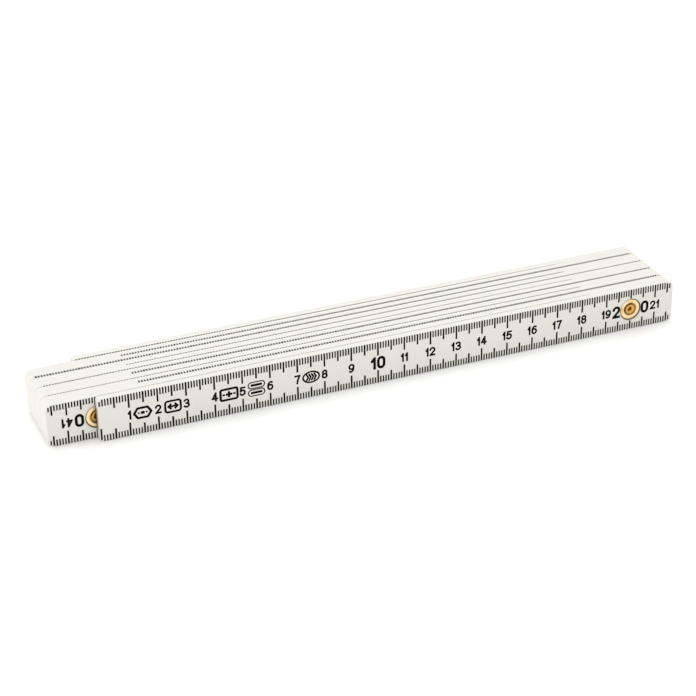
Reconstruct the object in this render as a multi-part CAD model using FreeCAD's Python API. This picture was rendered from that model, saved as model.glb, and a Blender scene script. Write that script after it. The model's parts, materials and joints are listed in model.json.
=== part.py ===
"""Ten-leaf folding rule, two metres long when straight.

Ten plastic leaves lie one behind another and are joined end to end by nine riveted pivots.
Each pivot is a semi-tubular brass rivet with a brass washer sunk into the outer face of each leaf,
and a sprung detent of two steel plates sunk into the faces that bear on each other.
Folded flat and standing on its long edges: X along the leaves, Y through the stack with
leaf 1 at the front (-Y), Z across the width of a leaf. Millimetres. The origin is at the
middle of the folded stack, on the surface that it stands on.
"""
import os

import FreeCAD, Part

# Driving sizes of the whole rule
LEAF_COUNT = 10
PIVOT_SPACING = 200.0        # between the two pivots of a leaf, so one leaf carries 20 cm of scale
PIVOT_TO_END = 17.5          # how far a jointed leaf reaches past its pivot
FREE_END_PAST_ZERO = 0.5     # how far the rule's two free ends reach past 0 and 200 cm
LEAF_WIDTH = 15.8
LEAF_THICKNESS = 3.2
LEAF_GAP = 0.2               # between the flat faces of neighbouring leaves

# Edges and corners of a leaf
JOINTED_CORNER_RADIUS = 2.2
FREE_CORNER_RADIUS = 0.9     # at the 0 and 200 cm ends, which are cut square
EDGE_ROUNDING = 0.32

# Raised bearing pads round each pivot, on the faces that turn against each other
PAD_REACH = 15.3             # from the pivot towards the middle of the leaf
PAD_INSET = 0.06             # from the leaf's outline
PAD_RUNNING_CLEARANCE = 0.02
PAD_ROOT = 0.8               # how deep the pad's solid is rooted in the leaf

# Rivet
SHANK_RADIUS = 1.8
HOLLOW_RADIUS = 0.75
HOLLOW_DEPTH = 1.3           # of the blind hollow in each end, below the head's seat
RIVET_HEAD_OVERHANG = 0.4    # how far the rolled head reaches past the shank
RIVET_HEAD_HEIGHT = 0.5
RUNNING_CLEARANCE = 0.04     # radial, rivet to whatever turns round it

# Washers, sunk into the outer faces
WASHER_RADIUS = 4.0
WASHER_THICKNESS = 0.75
WASHER_CROWN_RADIUS = 0.3    # rounding of the washer's rim, outside and inside
WASHER_DISH_CLEARANCE = 0.25 # radial, from the rivet's head to the rim round it
WASHER_SEAT_THICKNESS = 0.28
WASHER_DEPTH = 0.25          # top of the washer below the leaf's face
COUNTERBORE_CLEARANCE = 0.1  # radial, round the washer

# Detent plates, sunk into the pads
PLATE_THICKNESS = 0.4
SPRING_PLATE_DEPTH = 0.4     # face of the spring plate below the pad's face
CATCH_PLATE_DEPTH = 0.1      # face of the catch plate below the pad's face
PLATE_BORE_CLEARANCE = 0.2   # radial, round the rivet
SLIT_FROM_BORE = 0.75        # metal between the rivet's hole and a slit
SLIT_WIDTH = 0.4             # slits that let the dimples' bridges flex
SLIT_LENGTH = 3.3            # across the plate
DIMPLE_FROM_SLIT = 0.25
DIMPLE_RADIUS = 0.8
DIMPLE_CLEARANCE = 0.14      # from a dimple's top to the catch plate, between two clicks
CATCH_HOLE_CLEARANCE = 0.12  # radial, round a dimple that has dropped in
SPRING_DIMPLES = 2
CATCH_STOPS = 4              # the rule clicks at every quarter turn
PLATE_RIM = 0.48             # metal outside a catch hole
PLATE_KEY_LENGTH = 1.0       # the two lugs that stop a plate turning in its pocket
PLATE_KEY_WIDTH = 3.0
POCKET_CLEARANCE = 0.05

# Worked out from the sizes above
LEAF_PITCH = LEAF_THICKNESS + LEAF_GAP
STACK_DEPTH = LEAF_COUNT * LEAF_PITCH - LEAF_GAP
JOINT_COUNT = LEAF_COUNT - 1
PIVOT_X = PIVOT_SPACING / 2
END_X = PIVOT_X + PIVOT_TO_END
FREE_END_X = PIVOT_X + FREE_END_PAST_ZERO
MID_Z = LEAF_WIDTH / 2
PAD_RISE = (LEAF_GAP - PAD_RUNNING_CLEARANCE) / 2
RIVET_HEAD_RADIUS = SHANK_RADIUS + RIVET_HEAD_OVERHANG
WASHER_DISH_RADIUS = RIVET_HEAD_RADIUS + WASHER_DISH_CLEARANCE
COUNTERBORE_DEPTH = WASHER_DEPTH + WASHER_THICKNESS
COUNTERBORE_RADIUS = WASHER_RADIUS + COUNTERBORE_CLEARANCE
SPRING_POCKET_DEPTH = SPRING_PLATE_DEPTH + PLATE_THICKNESS
CATCH_POCKET_DEPTH = CATCH_PLATE_DEPTH + PLATE_THICKNESS
PLATES_APART = SPRING_PLATE_DEPTH + PAD_RUNNING_CLEARANCE + CATCH_PLATE_DEPTH
DIMPLE_HEIGHT = PLATES_APART - DIMPLE_CLEARANCE
PLATE_BORE_RADIUS = SHANK_RADIUS + PLATE_BORE_CLEARANCE
SLIT_INNER_RADIUS = PLATE_BORE_RADIUS + SLIT_FROM_BORE
SLIT_OUTER_RADIUS = SLIT_INNER_RADIUS + SLIT_WIDTH
DIMPLE_CIRCLE_RADIUS = SLIT_OUTER_RADIUS + DIMPLE_FROM_SLIT + DIMPLE_RADIUS
CATCH_HOLE_RADIUS = DIMPLE_RADIUS + CATCH_HOLE_CLEARANCE
PLATE_RADIUS = DIMPLE_CIRCLE_RADIUS + CATCH_HOLE_RADIUS + PLATE_RIM
PLATE_KEY_REACH = PLATE_RADIUS + PLATE_KEY_LENGTH

ALONG_Y = FreeCAD.Vector(0, 1, 0)
ARC_MIDDLE = 1 - 0.5 ** 0.5  # share of its radius that a quarter round's middle lies inside
ROUND_OFF = 1e-6


def leaf_front(leaf):
    """Y of a leaf's front face."""
    return (leaf - 1) * LEAF_PITCH - STACK_DEPTH / 2


def leaf_back(leaf):
    """Y of a leaf's back face."""
    return leaf_front(leaf) + LEAF_THICKNESS


def pivot_side(joint):
    """+1 where the joint is at the right-hand pivot, -1 at the left-hand one."""
    return 1 if joint % 2 else -1


def rounded_outline(low, high, left_radius, right_radius, y):
    """Face in the XZ plane between two corners, with its own corner radius at each end."""
    (x0, z0), (x1, z1) = low, high
    corners = [
        (x0, z0, 1, 1, left_radius),
        (x1, z0, -1, 1, right_radius),
        (x1, z1, -1, -1, right_radius),
        (x0, z1, 1, -1, left_radius),
    ]
    starts, middles, ends = [], [], []
    for x, z, inward_x, inward_z, radius in corners:
        along_x = FreeCAD.Vector(x + inward_x * radius, y, z)
        along_z = FreeCAD.Vector(x, y, z + inward_z * radius)
        reach = radius * ARC_MIDDLE
        middles.append(FreeCAD.Vector(x + inward_x * reach, y, z + inward_z * reach))
        turns_from_z_side = inward_x == inward_z
        starts.append(along_z if turns_from_z_side else along_x)
        ends.append(along_x if turns_from_z_side else along_z)
    edges = []
    for i in range(4):
        edges.append(Part.Arc(starts[i], middles[i], ends[i]).toShape())
        edges.append(Part.makeLine(ends[i], starts[(i + 1) % 4]))
    return Part.Face(Part.Wire(edges))


def disc(x, y, radius, length):
    """Round bar along +Y on a pivot axis."""
    return Part.makeCylinder(radius, length, FreeCAD.Vector(x, y, MID_Z), ALONG_Y)


def revolved(x, profile):
    """Solid turned about a pivot axis from (radius, y) points; a point with a third value
    is the middle of an arc between its neighbours."""
    points = [FreeCAD.Vector(x + p[0], p[1], MID_Z) for p in profile]
    is_arc_middle = [len(p) == 3 for p in profile]
    edges = []
    count = len(points)
    i = 0
    while i < count:
        if is_arc_middle[(i + 1) % count]:
            edges.append(Part.Arc(points[i], points[i + 1], points[(i + 2) % count]).toShape())
            i += 2
        else:
            edges.append(Part.makeLine(points[i], points[(i + 1) % count]))
            i += 1
    face = Part.Face(Part.Wire(edges))
    return face.revolve(FreeCAD.Vector(x, 0, MID_Z), ALONG_Y, 360)


def has_free_end(leaf):
    """True for the two leaves that end the rule."""
    return leaf in (1, LEAF_COUNT)


def leaf_span(leaf):
    """X of a leaf's two ends; the first and last leaf are cut square near the left pivots."""
    return (-FREE_END_X if has_free_end(leaf) else -END_X), END_X


def leaf_blank(leaf):
    """Moulded strip with rounded corners and long edges."""
    x0, x1 = leaf_span(leaf)
    left_radius = FREE_CORNER_RADIUS if has_free_end(leaf) else JOINTED_CORNER_RADIUS
    outline = rounded_outline((x0, 0), (x1, LEAF_WIDTH), left_radius, JOINTED_CORNER_RADIUS,
                              leaf_front(leaf))
    blank = outline.extrude(ALONG_Y * LEAF_THICKNESS)
    return blank.makeFillet(EDGE_ROUNDING, rim_edges(blank, leaf))


def rim_edges(blank, leaf):
    """Edges round the front and back faces of a blank."""
    faces_y = (leaf_front(leaf), leaf_back(leaf))
    rims = []
    for edge in blank.Edges:
        box = edge.BoundBox
        if box.YLength < ROUND_OFF and min(abs(box.YMin - y) for y in faces_y) < ROUND_OFF:
            rims.append(edge)
    return rims


def bearing_pad(leaf, joint):
    """Raised end of a leaf where it turns on its neighbour."""
    side = pivot_side(joint)
    inner_x = side * (PIVOT_X - PAD_REACH)
    outer_x = side * (END_X - PAD_INSET)
    low = (min(inner_x, outer_x), PAD_INSET)
    high = (max(inner_x, outer_x), LEAF_WIDTH - PAD_INSET)
    outer_radius = JOINTED_CORNER_RADIUS - PAD_INSET
    inner_radius = EDGE_ROUNDING
    radii = (inner_radius, outer_radius) if side > 0 else (outer_radius, inner_radius)
    if leaf == joint:
        start_y = leaf_back(leaf) - PAD_ROOT
    else:
        start_y = leaf_front(leaf) - PAD_RISE
    outline = rounded_outline(low, high, radii[0], radii[1], start_y)
    return outline.extrude(ALONG_Y * (PAD_ROOT + PAD_RISE))


def keyed_disc(x, y, grow, length):
    """Plate blank or its pocket: a disc with a lug each side."""
    body = disc(x, y, PLATE_RADIUS + grow, length)
    reach = PLATE_KEY_REACH + grow
    half_width = PLATE_KEY_WIDTH / 2 + grow
    corner = FreeCAD.Vector(x - reach, y, MID_Z - half_width)
    key = Part.makeBox(2 * reach, length, 2 * half_width, corner)
    return body.fuse(key).removeSplitter()


def front_leaf_cuts(joint):
    """Bore, counterbore and spring pocket of the leaf in front of a joint."""
    x = pivot_side(joint) * PIVOT_X
    front, pad_face = leaf_front(joint), leaf_back(joint) + PAD_RISE
    bore = disc(x, front, SHANK_RADIUS, LEAF_THICKNESS)
    counterbore = disc(x, front, COUNTERBORE_RADIUS, COUNTERBORE_DEPTH)
    pocket = keyed_disc(x, pad_face - SPRING_POCKET_DEPTH, POCKET_CLEARANCE, SPRING_POCKET_DEPTH)
    return [bore, counterbore, pocket]


def back_leaf_cuts(joint):
    """Bore, counterbore and catch pocket of the leaf behind a joint."""
    x = pivot_side(joint) * PIVOT_X
    pad_face, back = leaf_front(joint + 1) - PAD_RISE, leaf_back(joint + 1)
    bore = disc(x, pad_face, SHANK_RADIUS + RUNNING_CLEARANCE, LEAF_THICKNESS)
    counterbore = disc(x, back - COUNTERBORE_DEPTH, COUNTERBORE_RADIUS, COUNTERBORE_DEPTH)
    pocket = keyed_disc(x, pad_face, POCKET_CLEARANCE, CATCH_POCKET_DEPTH)
    return [bore, counterbore, pocket]


def make_leaf(leaf):
    """One leaf, with a pad and its cuts at each joint that it takes part in."""
    body = leaf_blank(leaf)
    cuts = []
    if leaf < LEAF_COUNT:
        body = body.fuse(bearing_pad(leaf, leaf))
        cuts += front_leaf_cuts(leaf)
    if leaf > 1:
        body = body.fuse(bearing_pad(leaf, leaf - 1))
        cuts += back_leaf_cuts(leaf - 1)
    return body.cut(cuts).removeSplitter()


def washer(x, seat_y, outward, bore_radius):
    """Washer on a counterbore's floor; outward is -1 when it faces the front, +1 the back."""
    top = seat_y + outward * WASHER_THICKNESS
    seat = seat_y + outward * WASHER_SEAT_THICKNESS
    crown = WASHER_CROWN_RADIUS
    rim_start = top - outward * crown
    slope = crown * ARC_MIDDLE
    return revolved(x, [
        (bore_radius, seat_y),
        (WASHER_RADIUS, seat_y),
        (WASHER_RADIUS, rim_start),
        (WASHER_RADIUS - slope, top - outward * slope, "arc"),
        (WASHER_RADIUS - crown, top),
        (WASHER_DISH_RADIUS + crown, top),
        (WASHER_DISH_RADIUS + slope, top - outward * slope, "arc"),
        (WASHER_DISH_RADIUS, rim_start),
        (WASHER_DISH_RADIUS, seat),
        (bore_radius, seat),
    ])


def make_front_washer(joint):
    """Washer in the front leaf, tight on the rivet."""
    seat_y = leaf_front(joint) + COUNTERBORE_DEPTH
    return washer(pivot_side(joint) * PIVOT_X, seat_y, -1, SHANK_RADIUS)


def make_back_washer(joint):
    """Washer in the back leaf, which turns round the rivet with it."""
    seat_y = leaf_back(joint + 1) - COUNTERBORE_DEPTH
    return washer(pivot_side(joint) * PIVOT_X, seat_y, 1, SHANK_RADIUS + RUNNING_CLEARANCE)


def make_rivet(joint):
    """Rivet with a blind hollow and a rolled-over head at each end."""
    front_seat = leaf_front(joint) + COUNTERBORE_DEPTH - WASHER_SEAT_THICKNESS
    back_seat = leaf_back(joint + 1) - COUNTERBORE_DEPTH + WASHER_SEAT_THICKNESS
    back_seat += PAD_RUNNING_CLEARANCE
    roll_middle = (RIVET_HEAD_RADIUS + HOLLOW_RADIUS) / 2
    front_web, back_web = front_seat + HOLLOW_DEPTH, back_seat - HOLLOW_DEPTH
    return revolved(pivot_side(joint) * PIVOT_X, [
        (0, front_web),
        (HOLLOW_RADIUS, front_web),
        (HOLLOW_RADIUS, front_seat),
        (roll_middle, front_seat - RIVET_HEAD_HEIGHT, "arc"),
        (RIVET_HEAD_RADIUS, front_seat),
        (SHANK_RADIUS, front_seat),
        (SHANK_RADIUS, back_seat),
        (RIVET_HEAD_RADIUS, back_seat),
        (roll_middle, back_seat + RIVET_HEAD_HEIGHT, "arc"),
        (HOLLOW_RADIUS, back_seat),
        (HOLLOW_RADIUS, back_web),
        (0, back_web),
    ])


def ring_points(x, count):
    """Points spaced evenly round a pivot axis, on the dimples' circle."""
    points = []
    for i in range(count):
        turn = FreeCAD.Rotation(ALONG_Y, i * 360 / count)
        spoke = turn.multVec(FreeCAD.Vector(DIMPLE_CIRCLE_RADIUS, 0, 0))
        points.append(FreeCAD.Vector(x, 0, MID_Z) + spoke)
    return points


def dimple(centre, base_y):
    """Pressed dome, standing on base_y towards +Y."""
    ball_radius = (DIMPLE_RADIUS ** 2 + DIMPLE_HEIGHT ** 2) / (2 * DIMPLE_HEIGHT)
    ball_centre = FreeCAD.Vector(centre.x, base_y + DIMPLE_HEIGHT - ball_radius, centre.z)
    ball = Part.makeSphere(ball_radius, ball_centre)
    foot = FreeCAD.Vector(centre.x, base_y, centre.z)
    keep = Part.makeCylinder(ball_radius, DIMPLE_HEIGHT, foot, ALONG_Y)
    return ball.common(keep)


def spring_slits(x, y):
    """Two curved slits beside the rivet, one under each dimple."""
    ring = disc(x, y, SLIT_OUTER_RADIUS, PLATE_THICKNESS)
    ring = ring.cut(disc(x, y, SLIT_INNER_RADIUS, PLATE_THICKNESS))
    corner = FreeCAD.Vector(x - SLIT_OUTER_RADIUS, y, MID_Z - SLIT_LENGTH / 2)
    band = Part.makeBox(2 * SLIT_OUTER_RADIUS, PLATE_THICKNESS, SLIT_LENGTH, corner)
    return ring.common(band)


def make_spring_plate(joint):
    """Steel plate with two dimples, keyed into the front leaf."""
    x = pivot_side(joint) * PIVOT_X
    floor = leaf_back(joint) + PAD_RISE - SPRING_POCKET_DEPTH
    plate = keyed_disc(x, floor, 0, PLATE_THICKNESS)
    plate = plate.cut(disc(x, floor, PLATE_BORE_RADIUS, PLATE_THICKNESS))
    plate = plate.cut(spring_slits(x, floor))
    domes = [dimple(point, floor + PLATE_THICKNESS) for point in ring_points(x, SPRING_DIMPLES)]
    return plate.fuse(domes)


def make_catch_plate(joint):
    """Steel plate with the holes that the dimples drop into, keyed into the back leaf."""
    x = pivot_side(joint) * PIVOT_X
    top = leaf_front(joint + 1) - PAD_RISE + CATCH_POCKET_DEPTH - PLATE_THICKNESS
    plate = keyed_disc(x, top, 0, PLATE_THICKNESS)
    holes = [disc(x, top, PLATE_BORE_RADIUS, PLATE_THICKNESS)]
    for point in ring_points(x, CATCH_STOPS):
        start = FreeCAD.Vector(point.x, top, point.z)
        holes.append(Part.makeCylinder(CATCH_HOLE_RADIUS, PLATE_THICKNESS, start, ALONG_Y))
    return plate.cut(holes)


def save(shape, node):
    """Write one sub-part as its own file."""
    solids = shape.Solids
    if len(solids) != 1 or not solids[0].isValid():
        raise ValueError("%s is not one valid solid" % node)
    solids[0].exportStep("parts/%s.step" % node)


def main():
    os.makedirs("parts", exist_ok=True)
    for leaf in range(1, LEAF_COUNT + 1):
        save(make_leaf(leaf), "leaf_%02d" % leaf)
    for joint in range(1, JOINT_COUNT + 1):
        save(make_rivet(joint), "rivet_%02d" % joint)
        save(make_front_washer(joint), "front_washer_%02d" % joint)
        save(make_back_washer(joint), "back_washer_%02d" % joint)
        save(make_spring_plate(joint), "spring_plate_%02d" % joint)
        save(make_catch_plate(joint), "catch_plate_%02d" % joint)


main()
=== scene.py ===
"""Looks for a ten-leaf folding rule: white moulded leaves that carry a printed centimetre
scale, riveted brass pivots, and a pale studio floor. Metres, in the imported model's frame."""
import json
import math
import random

import bmesh
import bpy
from mathutils import Matrix, Vector
from mathutils.geometry import delaunay_2d_cdt, intersect_line_line_2d


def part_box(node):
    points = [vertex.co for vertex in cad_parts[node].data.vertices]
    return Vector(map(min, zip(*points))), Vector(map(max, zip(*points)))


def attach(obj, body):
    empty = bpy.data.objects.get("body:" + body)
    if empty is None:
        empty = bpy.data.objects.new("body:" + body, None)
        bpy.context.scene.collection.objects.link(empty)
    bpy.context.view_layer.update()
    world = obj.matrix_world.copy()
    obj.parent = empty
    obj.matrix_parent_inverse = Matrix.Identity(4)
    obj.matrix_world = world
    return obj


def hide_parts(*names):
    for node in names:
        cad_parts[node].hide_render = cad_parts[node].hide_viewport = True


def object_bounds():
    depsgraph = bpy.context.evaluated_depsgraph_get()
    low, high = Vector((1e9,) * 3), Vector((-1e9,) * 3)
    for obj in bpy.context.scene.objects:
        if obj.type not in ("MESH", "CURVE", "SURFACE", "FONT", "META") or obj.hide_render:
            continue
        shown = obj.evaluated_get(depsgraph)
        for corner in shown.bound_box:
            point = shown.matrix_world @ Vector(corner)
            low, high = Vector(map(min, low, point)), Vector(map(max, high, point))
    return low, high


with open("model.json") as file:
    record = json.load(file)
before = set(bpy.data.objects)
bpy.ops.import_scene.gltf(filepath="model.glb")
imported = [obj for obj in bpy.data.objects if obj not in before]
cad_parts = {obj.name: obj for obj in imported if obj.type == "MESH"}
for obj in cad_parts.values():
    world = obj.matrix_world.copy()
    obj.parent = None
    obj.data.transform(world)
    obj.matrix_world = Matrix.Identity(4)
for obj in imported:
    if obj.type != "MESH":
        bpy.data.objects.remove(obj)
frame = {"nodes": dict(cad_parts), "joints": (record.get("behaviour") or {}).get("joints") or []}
CAD_LOW, CAD_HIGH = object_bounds()

MM = 0.001

# The stack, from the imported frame
JOINTS = sorted(frame["joints"], key=lambda joint: joint["name"])
PIVOTS = [Vector(joint["pos_m"]) for joint in JOINTS]
LEAF_COUNT = len(PIVOTS) + 1
PITCH = PIVOTS[1].y - PIVOTS[0].y
GAP = LEAF_COUNT * PITCH - (CAD_HIGH.y - CAD_LOW.y)
THICKNESS = PITCH - GAP
WIDTH = CAD_HIGH.z - CAD_LOW.z
MID_Z = CAD_LOW.z + WIDTH / 2
SPACING = abs(PIVOTS[1].x - PIVOTS[0].x)

# Leaf mouldings
JOINTED_CORNER = 2.2 * MM
FREE_CORNER = 0.9 * MM
EDGE_ROUNDING = 0.32 * MM
CORNER_STEPS = 14
ROUNDING_STEPS = 6
PAD_REACH = 15.3 * MM
PAD_INSET = 0.06 * MM
PAD_CLEARANCE = 0.02 * MM
PAD_RISE = (GAP - PAD_CLEARANCE) / 2
PAD_ROOT = 0.8 * MM

# Pivots
SHANK_RADIUS = 1.8 * MM
HOLLOW_RADIUS = 0.75 * MM
HOLLOW_DEPTH = 1.3 * MM
HOLLOW_POINT = 0.25 * MM
HOLLOW_TIP_RADIUS = HOLLOW_RADIUS * 0.3
RIVET_HEAD_RADIUS = 2.2 * MM
RIVET_HEAD_HEIGHT = 0.5 * MM
RUNNING_CLEARANCE = 0.04 * MM
WASHER_RADIUS = 4.0 * MM
WASHER_THICKNESS = 0.75 * MM
WASHER_CROWN = 0.3 * MM
WASHER_DISH_RADIUS = 2.45 * MM
WASHER_SEAT = 0.28 * MM
WASHER_DEPTH = 0.25 * MM
COUNTERBORE_RADIUS = 4.1 * MM
COUNTERBORE_DEPTH = WASHER_DEPTH + WASHER_THICKNESS
COUNTERBORE_LIP = 0.1 * MM
POCKET_RADIUS = 5.65 * MM
POCKET_KEY_REACH = 6.65 * MM
POCKET_KEY_WIDTH = 3.1 * MM
SPRING_POCKET_DEPTH = 0.8 * MM
CATCH_POCKET_DEPTH = 0.5 * MM
TURNED_STEPS = 96
ROLL_STEPS = 12
PUCKERS = 7
PUCKER_DEPTH = 0.05 * MM
TOOL_OVERRUN = 0.3 * MM

# Printed scale, all on one leaf face
INK_RAISE = 0.018 * MM
INK_SINK = 0.03 * MM
TICK_LENGTHS = {10: 5.02 * MM, 5: 3.97 * MM, 1: 2.42 * MM}
TICK_WIDTHS = {10: 0.64 * MM, 5: 0.64 * MM, 1: 0.52 * MM}
PRINT_PAST_PIVOT = 16
WRAP_STEPS = 4
RIVET_KEEP_CLEAR = COUNTERBORE_RADIUS + 0.35 * MM
# Figures, in millimetres; "long" narrows the figures of a number from 100 up
FIGURE = {"height": 3.5, "width": 2.3, "one": 1.25, "weight": 0.71, "gap": 0.3, "long": 0.8}
DECADE = {"height": 4.9, "width": 3.2, "one": 2.0, "weight": 1.0, "gap": 0.4, "long": 0.75}
NUMBER_FROM_END = 3.5
BESIDE_RIVET = 4.25 * MM
CROWDED = 11 * MM
CROWDED_FROM = 99
CLOSE_SHIFT = 0.8 * MM
# Generic signs on the first leaf: places along the scale, and line weights in millimetres
SIGN_PLACES = {"hexagon": 14.6 * MM, "arrow": 25.2 * MM, "cross": 45.1 * MM, "pills": 55.0 * MM,
               "ring": 75.0 * MM}
SIGN_WEIGHTS = {"hexagon": 0.85, "arrow": 0.76, "cross": 0.85, "pills": 0.42, "ring": 0.64}
# How far past the flat of the front the ticks reach round each leaf's upper edge, in
# millimetres, at its left and right pivots
UPPER_EDGE_REACH = (
    (0.45, 0.45), (0.02, 0.02), (1.00, 0.82), (0.27, 0.25), (1.00, 0.62),
    (0.38, 0.12), (0.26, 0.38), (1.00, 0.22), (0.76, 0.78), (0.50, 0.12),
)
# Faces whose printing sits off its place along the leaf, in millimetres
PRINT_DRIFT = {(1, "front"): 0.0, (2, "front"): -0.4}

# Studio
CAMERA_PLACE = Vector((-0.2407, -0.5831, 0.34145))
CAMERA_AIM = Vector((0.3316, 0.8180, -0.4700))
CAMERA_ROLL = -0.923
CAMERA_LENS = 104.13
SURROUND_STRENGTH = 0.86
OVERHEAD_POWER = 8.4
LEFT_POWER = 3.6
FLOOR_REACH = 3.0
FLOOR_STEPS = 24
FLOOR_DROP = 0.05 * MM


def leaf_front(leaf):
    """Y of a leaf's front face."""
    return CAD_LOW.y + (leaf - 1) * PITCH


def leaf_ends(leaf):
    """X of a leaf's two ends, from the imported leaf."""
    low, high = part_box("leaf_%02d" % leaf)
    return low.x, high.x


def is_free_end(x):
    """True at the square-cut 0 and 200 cm ends, which stop just past a pivot's axis."""
    return abs(abs(x) - SPACING / 2) < MM


# ---------------------------------------------------------------- shader building

class Wire:
    """A node socket that takes part in arithmetic."""

    def __init__(self, finish, socket):
        self.finish = finish
        self.socket = socket

    def join(self, operation, first, second):
        return self.finish.node("ShaderNodeMath", {"operation": operation}, {0: first, 1: second})

    def __add__(self, other):
        return self.join("ADD", self, other)

    __radd__ = __add__

    def __sub__(self, other):
        return self.join("SUBTRACT", self, other)

    def __rsub__(self, other):
        return self.join("SUBTRACT", other, self)

    def __mul__(self, other):
        return self.join("MULTIPLY", self, other)

    __rmul__ = __mul__

    def __pow__(self, other):
        return self.join("POWER", self, other)

    def __abs__(self):
        return self.join("ABSOLUTE", self, 0.0)


class Finish:
    """A material being built."""

    def __init__(self, name):
        self.material = bpy.data.materials.new(name)
        self.material.use_nodes = True
        self.tree = self.material.node_tree
        self.tree.nodes.clear()
        self.place = self.node("ShaderNodeTexCoord", {}, {}, "Object")

    def node(self, kind, settings, inputs, output=0):
        """Any node: its settings are set first, then the values or links of its sockets."""
        made = self.tree.nodes.new(kind)
        for name, value in settings.items():
            setattr(made, name, value)
        for key, value in inputs.items():
            if isinstance(value, Wire):
                self.tree.links.new(value.socket, made.inputs[key])
            else:
                made.inputs[key].default_value = value
        return None if output is None else Wire(self, made.outputs[output])

    def axes(self):
        """X, Y and Z of the point being shaded, in the object's own space."""
        return [self.node("ShaderNodeSeparateXYZ", {}, {0: self.place}, i) for i in range(3)]

    def stretched(self, x, y, z):
        """The place with each axis scaled."""
        return self.node("ShaderNodeVectorMath", {"operation": "MULTIPLY"},
                         {0: self.place, 1: (x, y, z)})

    def noise(self, scale, detail=2.0, vector=None):
        """Cloudy value between 0 and 1."""
        inputs = {"Vector": vector or self.place, "Scale": scale, "Detail": detail}
        return self.node("ShaderNodeTexNoise", {}, inputs)

    def band(self, value, low, high):
        """0 below low, 1 above high, smooth between; low may be the greater one."""
        return self.node("ShaderNodeMapRange", {"interpolation_type": "SMOOTHSTEP"},
                         {"Value": value, "From Min": low, "From Max": high})

    def mix(self, factor, first, second):
        """Colour mix."""
        return self.node("ShaderNodeMix", {"data_type": "RGBA"}, {0: factor, 6: first, 7: second}, 2)

    def bump(self, height, distance, strength=1.0):
        """Surface normal bent by a height between 0 and 1, times a distance in metres."""
        return self.node("ShaderNodeBump", {},
                         {"Height": height, "Distance": distance, "Strength": strength})

    def surface(self, inputs):
        """The plain surface shader, and the finished material."""
        shader = self.node("ShaderNodeBsdfPrincipled", {}, inputs)
        self.node("ShaderNodeOutputMaterial", {}, {"Surface": shader}, None)
        return self.material


def colour(red, green, blue):
    return (red, green, blue, 1.0)


# ---------------------------------------------------------------- finishes

def pivot_distance(finish):
    """Distance from the nearer pivot's axis, and the point's X, Y and Z."""
    x, y, z = finish.axes()
    along = abs(x) - SPACING / 2
    across = z - MID_Z
    return (along * along + across * across) ** 0.5, x, y, z


def moulded_white():
    """White glass-filled plastic: satin, a little uneven, soiled round the washers, with painted
    shade in a thin dark ring round each counterbore.
    """
    finish = Finish("moulded_white")
    distance, x, y, z = pivot_distance(finish)
    cloud = finish.noise(45.0, 3.0)
    flow = finish.noise(240.0, 3.0, finish.stretched(0.06, 1.0, 1.0))
    grain = finish.noise(2600.0, 2.0)
    scuffs = finish.noise(900.0, 4.0, finish.stretched(0.12, 1.0, 1.0))
    rubbed = finish.band(abs(z - MID_Z), WIDTH / 2 - 0.9 * MM, WIDTH / 2)
    free_end = finish.band(x, 0.0, -0.01) * finish.band(abs(y), CAD_HIGH.y - PITCH, CAD_HIGH.y)
    soiled = finish.band(distance, COUNTERBORE_RADIUS + 1.2 * MM, COUNTERBORE_RADIUS)
    # Painted shade: a thin near-black ring on the plastic just outside each counterbore, standing in
    # for the shadow of the washer's gap.
    counterbore_shade = finish.band(distance, COUNTERBORE_RADIUS + 0.28 * MM, COUNTERBORE_RADIUS)
    base = finish.mix(cloud, colour(0.75, 0.738, 0.68), colour(0.785, 0.773, 0.72))
    base = finish.mix(flow * 0.25, base, colour(0.71, 0.70, 0.64))
    base = finish.mix(rubbed * 0.2 * cloud, base, colour(0.66, 0.64, 0.57))
    base = finish.mix(soiled * (1 - free_end) * (0.08 + 0.2 * scuffs), base, colour(0.40, 0.33, 0.23))
    base = finish.mix(counterbore_shade * (1 - free_end) * 0.85, base, colour(0.13, 0.08, 0.04))
    return finish.surface({
        "Base Color": base,
        "Roughness": 0.36 + 0.14 * scuffs + 0.08 * cloud - 0.08 * rubbed,
        "Normal": finish.bump(0.75 * grain + 0.25 * flow, 0.012 * MM, 0.6),
        "IOR": 1.5,
        "Specular IOR Level": 0.45,
    })


def printed_black():
    """Black scale ink, thin and slightly uneven."""
    finish = Finish("printed_black")
    patchy = finish.noise(1500.0, 3.0)
    worn = finish.band(finish.noise(160.0, 3.0), 0.6, 0.8)
    base = finish.mix(patchy, colour(0.001, 0.001, 0.001), colour(0.004, 0.004, 0.004))
    base = finish.mix(worn * 0.3, base, colour(0.02, 0.02, 0.02))
    return finish.surface({
        "Base Color": base,
        "Roughness": 0.5 + 0.2 * patchy,
        "Normal": finish.bump(patchy, 0.004 * MM, 0.5),
        "Specular IOR Level": 0.04,
    })


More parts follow.
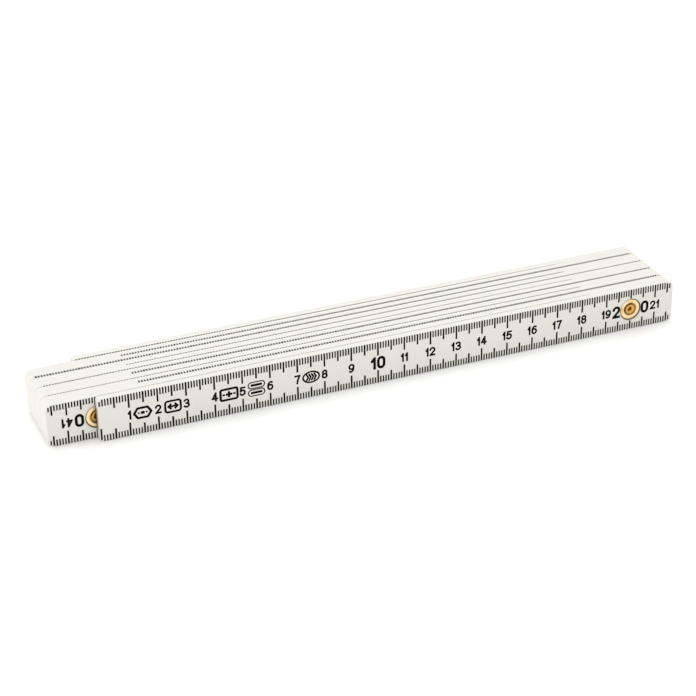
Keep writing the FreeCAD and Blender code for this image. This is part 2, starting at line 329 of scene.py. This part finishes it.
def turned_brass(name, pale, deep, rim, lines, polish):
    """Brass with turning lines round the pivot's axis, a little tarnish, painted shade in the
    washer's dish and a mottled painted shade at the rim.
    """
    finish = Finish(name)
    distance, x, y, z = pivot_distance(finish)
    ring = finish.node("ShaderNodeCombineXYZ", {}, {"X": distance, "Y": y * 0.2})
    rings = finish.noise(lines, 2.0, ring)
    cloud = finish.noise(420.0, 4.0)
    tarnish = finish.band(cloud, 0.42, 0.72)
    # Painted shade: the washer's sunk dish takes the deep colour; the rivet's head lies wholly inside
    # this radius, so the whole rivet is darkened too.
    dish_shade = finish.band(distance, RIVET_HEAD_RADIUS + 0.55 * MM, RIVET_HEAD_RADIUS + 0.1 * MM)
    # Painted shade: a dark band just inside the rim, mottled by patchy noise, standing in for the
    # shadow at the edge.
    rim_shade = finish.band(distance, rim - 0.35 * MM, rim)
    patchy = finish.band(finish.noise(260.0, 2.0), 0.3, 0.6)
    base = finish.mix(tarnish * 0.55, pale, deep)
    base = finish.mix(dish_shade * 0.8, base, deep)
    base = finish.mix(rim_shade * (0.6 + 0.4 * patchy), base, colour(0.11, 0.065, 0.015))
    grain = finish.noise(5200.0, 2.0)
    return finish.surface({
        "Base Color": base,
        "Metallic": 1.0,
        "Roughness": polish + 0.12 * cloud + 0.1 * rings,
        "Normal": finish.bump(rings * 0.7 + grain * 0.3, 0.006 * MM, 0.7),
    })


def rolled_steel():
    """Spring strip: grey steel with rolling lines."""
    finish = Finish("rolled_steel")
    lines = finish.noise(3200.0, 2.0, finish.stretched(0.03, 1.0, 1.0))
    cloud = finish.noise(300.0, 3.0)
    base = finish.mix(cloud, colour(0.46, 0.46, 0.47), colour(0.60, 0.60, 0.61))
    return finish.surface({
        "Base Color": base,
        "Metallic": 1.0,
        "Roughness": 0.24 + 0.2 * lines,
        "Normal": finish.bump(lines, 0.003 * MM, 0.6),
    })


def studio_paper():
    """Pale floor."""
    finish = Finish("studio_paper")
    cloud = finish.noise(6.0, 3.0)
    base = finish.mix(cloud, colour(0.955, 0.955, 0.95), colour(0.97, 0.97, 0.965))
    return finish.surface({"Base Color": base, "Roughness": 0.85, "Specular IOR Level": 0.1})


WHITE = moulded_white()
BLACK = printed_black()
WASHER_BRASS = turned_brass("washer_brass", colour(0.98, 0.75, 0.44), colour(0.60, 0.36, 0.10),
                            WASHER_RADIUS, 2400.0, 0.24)
RIVET_BRASS = turned_brass("rivet_brass", colour(0.98, 0.66, 0.22), colour(0.60, 0.34, 0.08),
                           RIVET_HEAD_RADIUS - 0.25 * MM, 1800.0, 0.20)
STEEL = rolled_steel()
PAPER = studio_paper()


# ---------------------------------------------------------------- meshes

def mesh_object(name, points, faces):
    """Object from points and faces, with every face turned outwards."""
    mesh = bpy.data.meshes.new(name)
    mesh.from_pydata(points, [], faces)
    work = bmesh.new()
    work.from_mesh(mesh)
    bmesh.ops.recalc_face_normals(work, faces=work.faces)
    work.to_mesh(mesh)
    work.free()
    made = bpy.data.objects.new(name, mesh)
    bpy.context.scene.collection.objects.link(made)
    return made


def shade(piece, sharp_angle):
    """Smooth shading that breaks at edges sharper than an angle in degrees."""
    piece.data.polygons.foreach_set("use_smooth", [True] * len(piece.data.polygons))
    piece.data.set_sharp_from_angle(angle=math.radians(sharp_angle))
    normals = piece.modifiers.new("weighted_normals", "WEIGHTED_NORMAL")
    normals.keep_sharp = True


def dress(piece, material, body, replaced=None):
    """Material, body and slot of a finished piece; the CAD node that it stands for is hidden."""
    piece.data.materials.clear()
    piece.data.materials.append(material)
    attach(piece, body)
    if replaced:
        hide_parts(replaced)


def combine(base, tool, operation):
    """Joins a tool solid to base, or cuts it out; the tool is used up."""
    step = base.modifiers.new("step", "BOOLEAN")
    step.operation = operation
    step.solver = "EXACT"
    step.object = tool
    graph = bpy.context.evaluated_depsgraph_get()
    result = bpy.data.meshes.new_from_object(base.evaluated_get(graph))
    base.modifiers.clear()
    base.data = result
    bpy.data.objects.remove(tool)


def turned(name, pivot, profile, closed):
    """Solid turned round a pivot's axis from (radius, y) points. A closed profile makes a
    ring; an open one is capped at both ends."""
    count = len(profile)
    points = []
    for step in range(TURNED_STEPS):
        angle = 2 * math.pi * step / TURNED_STEPS
        for radius, y in profile:
            points.append((pivot.x + radius * math.cos(angle), y,
                           pivot.z + radius * math.sin(angle)))
    faces = []
    for step in range(TURNED_STEPS):
        here, there = step * count, (step + 1) % TURNED_STEPS * count
        for i in range(count if closed else count - 1):
            j = (i + 1) % count
            faces.append((here + i, here + j, there + j, there + i))
    if not closed:
        faces.append([step * count for step in range(TURNED_STEPS)])
        faces.append([step * count + count - 1 for step in range(TURNED_STEPS)])
    return mesh_object(name, points, faces)


def box(name, low, high):
    """Rectangular tool solid."""
    points = [(x, y, z) for x in (low[0], high[0]) for y in (low[1], high[1])
              for z in (low[2], high[2])]
    faces = [(0, 1, 3, 2), (4, 6, 7, 5), (0, 4, 5, 1), (2, 3, 7, 6), (0, 2, 6, 4), (1, 5, 7, 3)]
    return mesh_object(name, points, faces)


def eased(corners, steps=6):
    """Profile with its corners rounded; each corner is (radius, y, rounding)."""
    points = []
    for i, (r, y, rounding) in enumerate(corners):
        here = Vector((r, y))
        if not rounding:
            points.append((r, y))
            continue
        before = Vector(corners[i - 1][:2]) - here
        after = Vector(corners[(i + 1) % len(corners)][:2]) - here
        half = before.angle(after) / 2
        reach = rounding / math.tan(half)
        centre = here + (before.normalized() + after.normalized()).normalized() * (
            rounding / math.sin(half))
        start = here + before.normalized() * reach - centre
        end = here + after.normalized() * reach - centre
        sweep = start.angle_signed(end)
        for step in range(steps + 1):
            turn = Matrix.Rotation(-sweep * step / steps, 2)
            points.append(tuple(centre + turn @ start))
    return points


# ---------------------------------------------------------------- leaves

def outline(x0, x1, left_corner, right_corner, inset):
    """Points round a leaf's rounded rectangle in X and Z, moved in by inset."""
    corners = [
        (x1 - right_corner, WIDTH - right_corner, right_corner, 0),
        (x0 + left_corner, WIDTH - left_corner, left_corner, 90),
        (x0 + left_corner, left_corner, left_corner, 180),
        (x1 - right_corner, right_corner, right_corner, 270),
    ]
    points = []
    for x, z, radius, first in corners:
        for step in range(CORNER_STEPS + 1):
            angle = math.radians(first + 90 * step / CORNER_STEPS)
            points.append((x + (radius - inset) * math.cos(angle),
                           CAD_LOW.z + z + (radius - inset) * math.sin(angle)))
    return points


def stacked(name, rings):
    """Closed solid from rings of the same number of points, each (y, [(x, z), ...])."""
    count = len(rings[0][1])
    points = [(x, y, z) for y, ring in rings for x, z in ring]
    faces = []
    for level in range(len(rings) - 1):
        for i in range(count):
            j = (i + 1) % count
            a, b = level * count, (level + 1) * count
            faces.append((a + i, a + j, b + j, b + i))
    faces.append(list(range(count)))
    faces.append(list(range(len(points) - count, len(points))))
    return mesh_object(name, points, faces)


def leaf_blank(leaf):
    """Moulded strip with rounded corners and long edges."""
    x0, x1 = leaf_ends(leaf)
    front, back = leaf_front(leaf), leaf_front(leaf) + THICKNESS
    left = FREE_CORNER if is_free_end(x0) else JOINTED_CORNER
    fronts, backs = [], []
    for step in range(ROUNDING_STEPS + 1):
        angle = math.pi / 2 * step / ROUNDING_STEPS
        depth = EDGE_ROUNDING * (1 - math.cos(angle))
        ring = outline(x0, x1, left, JOINTED_CORNER, EDGE_ROUNDING * (1 - math.sin(angle)))
        fronts.append((front + depth, ring))
        backs.insert(0, (back - depth, ring))
    rings = fronts + backs
    return stacked("leaf_%02d_moulding" % leaf, rings)


def bearing_pad(pivot, face_y, outward):
    """Raised end of a leaf where it turns on its neighbour."""
    side = math.copysign(1, pivot.x)
    inner = pivot.x - side * PAD_REACH
    outer = side * CAD_HIGH.x - side * PAD_INSET
    corner = JOINTED_CORNER - PAD_INSET
    small = EDGE_ROUNDING
    left, right = (small, corner) if side > 0 else (corner, small)
    ring = [(x, z) for x, z in outline(min(inner, outer), max(inner, outer), left, right, 0)]
    squeeze = (WIDTH / 2 - PAD_INSET) / (WIDTH / 2)
    ring = [(x, MID_Z + (z - MID_Z) * squeeze) for x, z in ring]
    levels = sorted((face_y - outward * PAD_ROOT, face_y + outward * PAD_RISE))
    return stacked("pad", [(y, ring) for y in levels])


def pivot_tools(pivot, outer_y, inward, bore, pocket_depth):
    """Solids that cut a leaf's bore, counterbore and plate pocket, from its outer face in."""
    top = outer_y - inward * TOOL_OVERRUN
    pad_face = outer_y + inward * (THICKNESS + PAD_RISE)
    floor = pad_face - inward * pocket_depth
    beyond = pad_face + inward * TOOL_OVERRUN
    mouth = COUNTERBORE_RADIUS + COUNTERBORE_LIP
    profile = [
        (mouth, top),
        (mouth, outer_y),
        (COUNTERBORE_RADIUS, outer_y + inward * COUNTERBORE_LIP),
        (COUNTERBORE_RADIUS, outer_y + inward * COUNTERBORE_DEPTH),
        (bore, outer_y + inward * COUNTERBORE_DEPTH),
        (bore, floor),
        (POCKET_RADIUS, floor),
        (POCKET_RADIUS, beyond),
    ]
    key_low = (pivot.x - POCKET_KEY_REACH, min(floor, beyond), MID_Z - POCKET_KEY_WIDTH / 2)
    key_high = (pivot.x + POCKET_KEY_REACH, max(floor, beyond), MID_Z + POCKET_KEY_WIDTH / 2)
    return [turned("cutter", pivot, profile, False), box("key_cutter", key_low, key_high)]


def make_leaf(leaf):
    """One leaf, cut for each pivot that it takes part in."""
    piece = leaf_blank(leaf)
    front, back = leaf_front(leaf), leaf_front(leaf) + THICKNESS
    tools = []
    if leaf < LEAF_COUNT:
        pivot = PIVOTS[leaf - 1]
        combine(piece, bearing_pad(pivot, back, 1), "UNION")
        tools += pivot_tools(pivot, front, 1, SHANK_RADIUS, SPRING_POCKET_DEPTH)
    if leaf > 1:
        pivot = PIVOTS[leaf - 2]
        combine(piece, bearing_pad(pivot, front, -1), "UNION")
        bore = SHANK_RADIUS + RUNNING_CLEARANCE
        tools += pivot_tools(pivot, back, -1, bore, CATCH_POCKET_DEPTH)
    for tool in tools:
        combine(piece, tool, "DIFFERENCE")
    shade(piece, 32)
    dress(piece, WHITE, "section_%02d" % leaf, "leaf_%02d" % leaf)


# ---------------------------------------------------------------- pivots

def make_washer(joint, which):
    """Stamped brass washer on the floor of its counterbore, dished for the rivet's head."""
    pivot = PIVOTS[joint - 1]
    if which == "front":
        leaf, outward, bore = joint, -1, SHANK_RADIUS
        seat = leaf_front(leaf) + COUNTERBORE_DEPTH
    else:
        leaf, outward, bore = joint + 1, 1, SHANK_RADIUS + RUNNING_CLEARANCE
        seat = leaf_front(leaf) + THICKNESS - COUNTERBORE_DEPTH
    top = seat + outward * WASHER_THICKNESS
    dish = seat + outward * WASHER_SEAT
    profile = eased([
        (bore, seat, 0),
        (WASHER_RADIUS, seat, 0.08 * MM),
        (WASHER_RADIUS, top, WASHER_CROWN),
        (WASHER_DISH_RADIUS, top, WASHER_CROWN),
        (WASHER_DISH_RADIUS, dish, 0.1 * MM),
        (bore, dish, 0),
    ])
    name = "%s_washer_%02d" % (which, joint)
    piece = turned(name + "_brass", pivot, profile, True)
    shade(piece, 40)
    dress(piece, WASHER_BRASS, "section_%02d" % leaf, name)


def rolled_head(seat, outward):
    """Section of a rivet's rolled head, from its bore outwards, as (radius, y) points."""
    middle = (RIVET_HEAD_RADIUS + HOLLOW_RADIUS) / 2
    half = (RIVET_HEAD_RADIUS - HOLLOW_RADIUS) / 2
    points = []
    for step in range(ROLL_STEPS + 1):
        angle = math.pi * step / ROLL_STEPS
        points.append((middle - half * math.cos(angle),
                       seat + outward * RIVET_HEAD_HEIGHT * math.sin(angle)))
    return points


def make_rivet(joint):
    """Semi-tubular rivet; its rolled lips pucker slightly round their circle."""
    pivot = PIVOTS[joint - 1]
    name = "rivet_%02d" % joint
    front = leaf_front(joint) + COUNTERBORE_DEPTH - WASHER_SEAT
    back = leaf_front(joint + 1) + THICKNESS - COUNTERBORE_DEPTH + WASHER_SEAT + PAD_CLEARANCE
    back_head = rolled_head(back, 1)
    back_head.reverse()
    front_hollow, back_hollow = front + HOLLOW_DEPTH, back - HOLLOW_DEPTH
    profile = [(HOLLOW_TIP_RADIUS, front_hollow + HOLLOW_POINT), (HOLLOW_RADIUS, front_hollow)]
    profile += rolled_head(front, -1)
    profile += [(SHANK_RADIUS, front), (SHANK_RADIUS, back)]
    profile += back_head
    profile += [(HOLLOW_RADIUS, back_hollow), (HOLLOW_TIP_RADIUS, back_hollow - HOLLOW_POINT)]
    piece = turned(name + "_brass", pivot, profile, False)
    first = random.Random(joint).uniform(0, math.tau)
    for vertex in piece.data.vertices:
        place = vertex.co
        outward = 1 if place.y > pivot.y else -1
        rise = outward * place.y - outward * (back if outward > 0 else front)
        if rise > 0:
            angle = math.atan2(place.z - pivot.z, place.x - pivot.x)
            pucker = 0.5 + 0.5 * math.sin(PUCKERS * angle + first)
            place.y -= outward * PUCKER_DEPTH * pucker * rise / RIVET_HEAD_HEIGHT
    shade(piece, 45)
    dress(piece, RIVET_BRASS, "section_%02d" % joint, name)


# ---------------------------------------------------------------- flat ink shapes

def arc(x, y, reach_x, reach_y, start, end):
    """Points along an ellipse from one angle to another, anticlockwise degrees from +X."""
    steps = max(3, round(abs(end - start) / 15))
    points = []
    for step in range(steps + 1):
        angle = math.radians(start + (end - start) * step / steps)
        points.append((x + reach_x * math.cos(angle), y + reach_y * math.sin(angle)))
    return points


def turned_about(strokes):
    """Strokes of a unit box turned half way round."""
    return [[(1 - x, 1 - y) for x, y in stroke] for stroke in strokes]


SIX = [arc(0.5, 0.31, 0.5, 0.31, 0, 360), arc(0.62, 0.36, 0.62, 0.64, 180, 65)]
# Middle lines of the figures' strokes, in a box one wide and one high
STROKES = {
    "0": [arc(0.5, 0.7, 0.5, 0.3, 0, 180) + arc(0.5, 0.3, 0.5, 0.3, 180, 360) + [(1, 0.7)]],
    "1": [[(0, 0.72), (1, 1), (1, 0)]],
    "2": [arc(0.5, 0.71, 0.5, 0.29, 172, -32) + [(0, 0), (1, 0)]],
    "3": [arc(0.47, 0.75, 0.45, 0.25, 150, -90), arc(0.47, 0.26, 0.53, 0.26, 90, -150)],
    "4": [[(1, 0.27), (0, 0.27), (0.72, 1), (0.72, 0)]],
    "5": [[(0.93, 1), (0.14, 1), (0.08, 0.52)], arc(0.45, 0.32, 0.55, 0.32, 140, -150)],
    "6": SIX,
    "7": [[(0, 1), (1, 1), (0.58, 0.48), (0.4, 0)]],
    "8": [arc(0.5, 0.755, 0.43, 0.245, 0, 360), arc(0.5, 0.27, 0.5, 0.27, 0, 360)],
    "9": turned_about(SIX),
}


def ribbon(line, weight):
    """Polygons along a line of points, mitred where it turns. The ends of an open line are
    squared off half a weight further on."""
    line = [Vector(point) for point in line]
    closed = (line[0] - line[-1]).length < 1e-6
    if closed:
        line.pop()
    else:
        line[0] += (line[0] - line[1]).normalized() * weight / 2
        line[-1] += (line[-1] - line[-2]).normalized() * weight / 2
    count = len(line)
    sides = []
    for i, here in enumerate(line):
        after = (line[(i + 1) % count] - here).normalized()
        before = (here - line[i - 1]).normalized()
        if not closed and i == 0:
            before = after
        if not closed and i == count - 1:
            after = before
        along = (before + after).normalized()
        across = Vector((-along.y, along.x)) * weight / 2 / max(0.25, along.dot(after))
        sides.append((here + across, here - across))
    pieces = []
    for i in range(count if closed else count - 1):
        left, right = sides[i]
        next_left, next_right = sides[(i + 1) % count]
        crossing = intersect_line_line_2d(left, right, next_left, next_right)
        if crossing is None:
            pieces.append([left, right, next_right, next_left])
        elif (next_left - left).dot(line[(i + 1) % count] - line[i]) < 0:
            pieces.append([crossing, right, next_right])
        else:
            pieces.append([left, crossing, next_left])
    return pieces


def merged(polygons, window):
    """One flat shape from overlapping polygons (anticlockwise), trimmed to a window: its
    points, its triangles and its rim edges."""
    corners, loops = [], []
    for polygon in [window] + polygons:
        loops.append(list(range(len(corners), len(corners) + len(polygon))))
        corners += [Vector(corner) for corner in polygon]
    points, _, faces, _, _, sources = delaunay_2d_cdt(corners, [], loops, 0, 1e-5, True)
    kept = [face for face, source in zip(faces, sources) if 0 in source and len(source) > 1]
    sides = {(face[i - 1], face[i]) for face in kept for i in range(len(face))}
    rim = [(a, b) for a, b in sides if (b, a) not in sides]
    used = sorted({corner for face in kept for corner in face})
    number = {corner: i for i, corner in enumerate(used)}
    return (
        [points[corner] for corner in used],
        [[number[corner] for corner in face] for face in kept],
        sorted((number[a], number[b]) for a, b in rim),
    )


def drawn(strokes, width, height, weight):
    """Flat shape of strokes given in a unit box, at a size in millimetres, centred."""
    scale_x, scale_y = width - weight, height - weight
    polygons = []
    for stroke in strokes:
        line = [((x - 0.5) * scale_x, (y - 0.5) * scale_y) for x, y in stroke]
        polygons += ribbon(line, weight)
    x, y = width / 2, height / 2
    return merged(polygons, [(-x, -y), (x, -y), (x, y), (-x, y)])


FIGURE_SHAPES = {}


def figure(digit, style, squeeze):
    """Flat shape and width of a digit, drawn once for each size."""
    width = style["one" if digit == "1" else "width"] * squeeze
    key = (digit, style["height"], width)
    if key not in FIGURE_SHAPES:
        weight = style["weight"] * squeeze
        FIGURE_SHAPES[key] = drawn(STROKES[digit], width, style["height"], weight)
    return FIGURE_SHAPES[key], width


# ---------------------------------------------------------------- printing

class Print:
    """Ink on one face of a leaf. Places are given along the scale in metres from zero,
    up from the leaf's middle and out from its face."""

    def __init__(self, leaf, side):
        self.leaf = leaf
        self.side = side
        self.ends = leaf_ends(leaf)
        self.first = (leaf - 1) * SPACING
        reads = 1 if leaf % 2 else -1
        face = leaf_front(leaf) + (0 if side == "front" else THICKNESS)
        self.chance = random.Random("%s %d" % (side, leaf))
        drift = PRINT_DRIFT.get((leaf, side), self.chance.uniform(-0.15, 0.15)) * MM
        self.start = Vector((-reads * SPACING / 2 + drift, face, MID_Z))
        self.right = Vector((reads, 0, 0))
        self.out = Vector((0, -1 if side == "front" else 1, 0))
        self.up = self.out.cross(self.right)
        self.points = []
        self.faces = []

    def place(self, along, up, out):
        along -= self.first
        return self.start + self.right * along + self.up * up + self.out * out

    def span(self):
        """First and last millimetre that this face shows."""
        first, last = round(self.first / MM), round((self.first + SPACING) / MM)
        past = PRINT_PAST_PIVOT if self.side == "front" else -PRINT_PAST_PIVOT
        if self.leaf > 1:
            first += past
        if self.leaf < LEAF_COUNT:
            last += past
        return first, last

    def rivet(self):
        """Place of this face's washer along the scale, or None."""
        if self.side == "front" and self.leaf < LEAF_COUNT:
            return self.first + SPACING
        if self.side == "back" and self.leaf > 1:
            return self.first
        return None

    def edge_reach(self, edge):
        """How far past the face's flat the ticks of one long edge go round it, at the
        leaf's left and right pivots."""
        if self.side == "front" and self.up.z * edge > 0:
            return [reach * MM for reach in UPPER_EDGE_REACH[self.leaf - 1]]
        return [self.chance.uniform(0.3, 0.5) * MM, self.chance.uniform(0.3, 0.5) * MM]

    def corner_drop(self, x, half_width):
        """How far the leaf's rounded corner has come in at a mark's outer side."""
        for end in self.ends:
            corner = FREE_CORNER if is_free_end(end) else JOINTED_CORNER
            from_end = abs(end - x) - half_width
            if from_end < corner:
                return corner - (corner ** 2 - (corner - from_end) ** 2) ** 0.5
        return 0.0

    def tick(self, along, edge, length, width, reach):
        """Tick from one long edge (+1 or -1), going round the edge's rounding and onto the
        side beyond as far as it reaches."""
        rim = WIDTH / 2 - EDGE_ROUNDING
        inner = WIDTH / 2 - length
        rivet = self.rivet()
        if rivet is not None and abs(along - rivet) < RIVET_KEEP_CLEAR:
            inner = max(inner, (RIVET_KEEP_CLEAR ** 2 - (along - rivet) ** 2) ** 0.5)
        path = [(inner, 0.0, 0.0, 1.0)]
        drop = self.corner_drop(self.place(along, 0, 0).x, width / 2)
        if drop > 0:
            path.append((rim - drop, 0.0, 0.0, 1.0))
        else:
            turn = min(reach / EDGE_ROUNDING, math.pi / 2)
            for step in range(WRAP_STEPS + 1):
                lean, rise = math.sin(turn * step / WRAP_STEPS), math.cos(turn * step / WRAP_STEPS)
                path.append((rim + EDGE_ROUNDING * lean, EDGE_ROUNDING * (rise - 1), lean, rise))
            beyond = reach - EDGE_ROUNDING * math.pi / 2
            if beyond > 0:
                path.append((WIDTH / 2, -EDGE_ROUNDING - beyond, 1.0, 0.0))
        first = len(self.points)
        for up, out, lean, rise in path:
            high = (edge * (up + lean * INK_RAISE), out + rise * INK_RAISE)
            low = (edge * (up - lean * INK_SINK), out - rise * INK_SINK)
            self.points += [
                self.place(along - width / 2, *high),
                self.place(along + width / 2, *high),
                self.place(along + width / 2, *low),
                self.place(along - width / 2, *low),
            ]
        for here in range(first, len(self.points) - 4, 4):
            for i in range(4):
                j = (i + 1) % 4
                self.faces.append((here + i, here + j, here + j + 4, here + i + 4))
        last = len(self.points)
        self.faces += [(first + 3, first + 2, first + 1, first), tuple(range(last - 4, last))]

    def ticks(self):
        """Ticks along both long edges; the zero tick is a short one on the upper edge."""
        first, last = self.span()
        for edge in (1, -1):
            left, right = self.edge_reach(edge)
            for millimetre in range(first, last + 1):
                step = 10 if millimetre % 10 == 0 else 5 if millimetre % 5 == 0 else 1
                uneven = self.chance.uniform(-1, 1)
                if millimetre == 0 and edge > 0:
                    step = 1
                along = millimetre * MM
                share = self.place(along, 0, 0).x / SPACING + 0.5
                reach = (left + (right - left) * share) * (1 + 0.05 * uneven)
                self.tick(along, edge, TICK_LENGTHS[step] + 0.04 * MM * uneven,
                          TICK_WIDTHS[step] * (1 + 0.06 * uneven), reach)

    def stamp(self, shape, along):
        """A flat shape, in millimetres, with its middle on the leaf's middle line."""
        points, faces, rim = shape
        first, count = len(self.points), len(points)
        for out in (INK_RAISE, -INK_SINK):
            self.points += [self.place(along + x * MM, y * MM, out) for x, y in points]
        for a, b, c in faces:
            self.faces.append((first + a, first + b, first + c))
            self.faces.append((first + count + c, first + count + b, first + count + a))
        for a, b in rim:
            self.faces.append((first + a, first + count + a, first + count + b, first + b))

    def number(self, text, along, style, squeeze=1.0, align=0.0):
        """Figures side by side. With align 0 they are centred on the place, with -1 they
        end there and with +1 they start there."""
        shapes = [figure(digit, style, squeeze) for digit in text]
        gap = style["gap"] * squeeze
        total = sum(width for _, width in shapes) + gap * (len(text) - 1)
        at = along + (align - 1) / 2 * total * MM
        for shape, width in shapes:
            self.stamp(shape, at + width / 2 * MM)
            at += (width + gap) * MM

    def numbers(self):
        """Every centimetre's number. One on a rivet is split round it, and long numbers
        next to a rivet move away from it."""
        first, last = self.span()
        rivet = self.rivet()
        for centimetre in range(1, round(LEAF_COUNT * SPACING / MM / 10)):
            along = centimetre * 10 * MM
            from_end = min(centimetre * 10 - first, last - centimetre * 10)
            if from_end < NUMBER_FROM_END:
                continue
            text = str(centimetre)
            style = FIGURE if centimetre % 10 else DECADE
            squeeze = style["long"] if centimetre >= 100 else 1.0
            from_rivet = along - rivet if rivet is not None else 1.0
            if abs(from_rivet) < MM:
                self.number(text[:-1], along - BESIDE_RIVET, style, squeeze, -1.0)
                self.number(text[-1], along + BESIDE_RIVET, style, squeeze, 1.0)
                continue
            if abs(from_rivet) < CROWDED and centimetre >= CROWDED_FROM:
                along += math.copysign(CLOSE_SHIFT, from_rivet)
            self.number(text, along, style, squeeze)

    def finish(self):
        piece = mesh_object("leaf_%02d_print_%s" % (self.leaf, self.side), self.points,
                            self.faces)
        shade(piece, 30)
        dress(piece, BLACK, "section_%02d" % self.leaf)


# ---------------------------------------------------------------- maker's marks

def rounded_box(width, height, radius):
    """Closed line round a box with rounded corners."""
    points = []
    corners = ((1, 1, 0), (-1, 1, 90), (-1, -1, 180), (1, -1, 270))
    for side_x, side_y, first in corners:
        x, y = side_x * (width / 2 - radius), side_y * (height / 2 - radius)
        points += arc(x, y, radius, radius, first, first + 90)
    return points + points[:1]


def spot(x, y, width, height):
    """Short bar, as a line to be inked."""
    return [(x - width / 2, y), (x + width / 2, y)], height


def mark_shape(lines, weight, size):
    """Flat shape of lines given in millimetres; a line may carry its own weight."""
    polygons = []
    for line in lines:
        if isinstance(line, tuple):
            polygons += ribbon(line[0], line[1])
        else:
            polygons += ribbon(line, weight)
    x, y = size[0] / 2, size[1] / 2
    return merged(polygons, [(-x, -y), (x, -y), (x, y), (-x, y)])


def make_marks(ink):
    """Small generic signs between the first figures of the scale."""
    hexagon = [(-2.95, 0), (-1.75, -1.85), (1.75, -1.85), (2.95, 0), (1.75, 1.85), (-1.75, 1.85)]
    ink.stamp(mark_shape([hexagon + hexagon[:1], spot(0, 0, 0.25, 1.1), spot(-1.4, 0, 0.05, 0.6),
                          spot(1.4, 0, 0.05, 0.6)], SIGN_WEIGHTS["hexagon"], (7, 5)),
              SIGN_PLACES["hexagon"])
    arrow = [
        rounded_box(5.45, 4.15, 0.9),
        [(-1.35, 0), (1.35, 0)],
        [(-0.85, 0.75), (-1.6, 0), (-0.85, -0.75)],
        [(0.85, 0.75), (1.6, 0), (0.85, -0.75)],
    ]
    ink.stamp(mark_shape(arrow, SIGN_WEIGHTS["arrow"], (6.6, 5.2)), SIGN_PLACES["arrow"])
    cross = [
        rounded_box(6.05, 4.1, 0.6),
        [(0, -0.75), (0, 0.75)],
        [(-0.75, 0), (0.75, 0)],
        spot(-1.9, 0, 0.2, 0.7),
        spot(1.9, 0, 0.2, 0.7),
    ]
    ink.stamp(mark_shape(cross, SIGN_WEIGHTS["cross"], (7.2, 5.2)), SIGN_PLACES["cross"])
    pills = []
    for middle in (1.45, -1.45):
        pill = [(x, y + middle) for x, y in rounded_box(5.9, 2.35, 1.15)]
        pills.append(pill)
        for x in (-1.5, -0.5, 0.5, 1.5):
            pills.append(spot(x, middle, 0.25, 0.9))
    ink.stamp(mark_shape(pills, SIGN_WEIGHTS["pills"], (6.4, 6)), SIGN_PLACES["pills"])
    ring = [arc(0, 0, 3.0, 2.05, 0, 360)]
    for x in (-1.7, -0.75, 0.2, 1.15):
        ring.append([(x, 1.1), (x + 0.65, 0), (x, -1.1)])
    ink.stamp(mark_shape(ring, SIGN_WEIGHTS["ring"], (6.8, 5)), SIGN_PLACES["ring"])


# ---------------------------------------------------------------- studio

def make_camera():
    """Long lens from the left and above, aimed at the middle of the folded rule."""
    forward = CAMERA_AIM.normalized()
    level = Vector((forward.y, -forward.x, 0)).normalized()
    overhead = level.cross(forward)
    roll = math.radians(CAMERA_ROLL)
    right = level * math.cos(roll) + overhead * math.sin(roll)
    up = overhead * math.cos(roll) - level * math.sin(roll)
    data = bpy.data.cameras.new("studio_camera")
    data.lens = CAMERA_LENS
    data.sensor_width = 36
    data.clip_start = 0.01
    data.clip_end = 20
    camera = bpy.data.objects.new("studio_camera", data)
    turn = Matrix((right, up, -forward)).transposed()
    camera.matrix_world = Matrix.Translation(CAMERA_PLACE) @ turn.to_4x4()
    bpy.context.scene.collection.objects.link(camera)
    bpy.context.scene.camera = camera


def make_lamp(name, place, size, power):
    """White square soft box, aimed at the rule."""
    data = bpy.data.lights.new(name, "AREA")
    data.shape = "SQUARE"
    data.size = size
    data.energy = power
    lamp = bpy.data.objects.new(name, data)
    lamp.location = place
    lamp.rotation_euler = (-Vector(place)).to_track_quat("-Z", "Y").to_euler()
    bpy.context.scene.collection.objects.link(lamp)


def make_studio():
    """Floor under the rule, even surrounding light and two soft boxes."""
    places = [FLOOR_REACH * (2 * step / FLOOR_STEPS - 1) for step in range(FLOOR_STEPS + 1)]
    points = [(x, y, CAD_LOW.z - FLOOR_DROP) for y in places for x in places]
    row_length = len(places)
    faces = []
    for row in range(FLOOR_STEPS):
        for column in range(FLOOR_STEPS):
            corner = row * row_length + column
            faces.append((corner, corner + 1, corner + row_length + 1, corner + row_length))
    floor = mesh_object("studio_floor", points, faces)
    floor.data.materials.append(PAPER)
    world = bpy.data.worlds.new("studio_surround")
    world.use_nodes = True
    sky = world.node_tree.nodes["Background"]
    sky.inputs["Color"].default_value = colour(1, 1, 1)
    sky.inputs["Strength"].default_value = SURROUND_STRENGTH
    bpy.context.scene.world = world
    make_lamp("overhead_box", (0.1, 0.1, 1.4), 1.6, OVERHEAD_POWER)
    make_lamp("left_box", (-1.3, 0.25, 0.5), 0.9, LEFT_POWER)
    bpy.context.scene.view_settings.view_transform = "Standard"


# ---------------------------------------------------------------- the rule

make_camera()
for leaf in range(1, LEAF_COUNT + 1):
    make_leaf(leaf)
    for side in ("front", "back"):
        ink = Print(leaf, side)
        ink.ticks()
        ink.numbers()
        if leaf == 1 and side == "front":
            make_marks(ink)
        ink.finish()
for joint in range(1, LEAF_COUNT):
    make_rivet(joint)
    make_washer(joint, "front")
    make_washer(joint, "back")
    for plate in ("spring_plate", "catch_plate"):
        strip = frame["nodes"]["%s_%02d" % (plate, joint)]
        strip.data.materials.clear()
        strip.data.materials.append(STEEL)
make_studio()
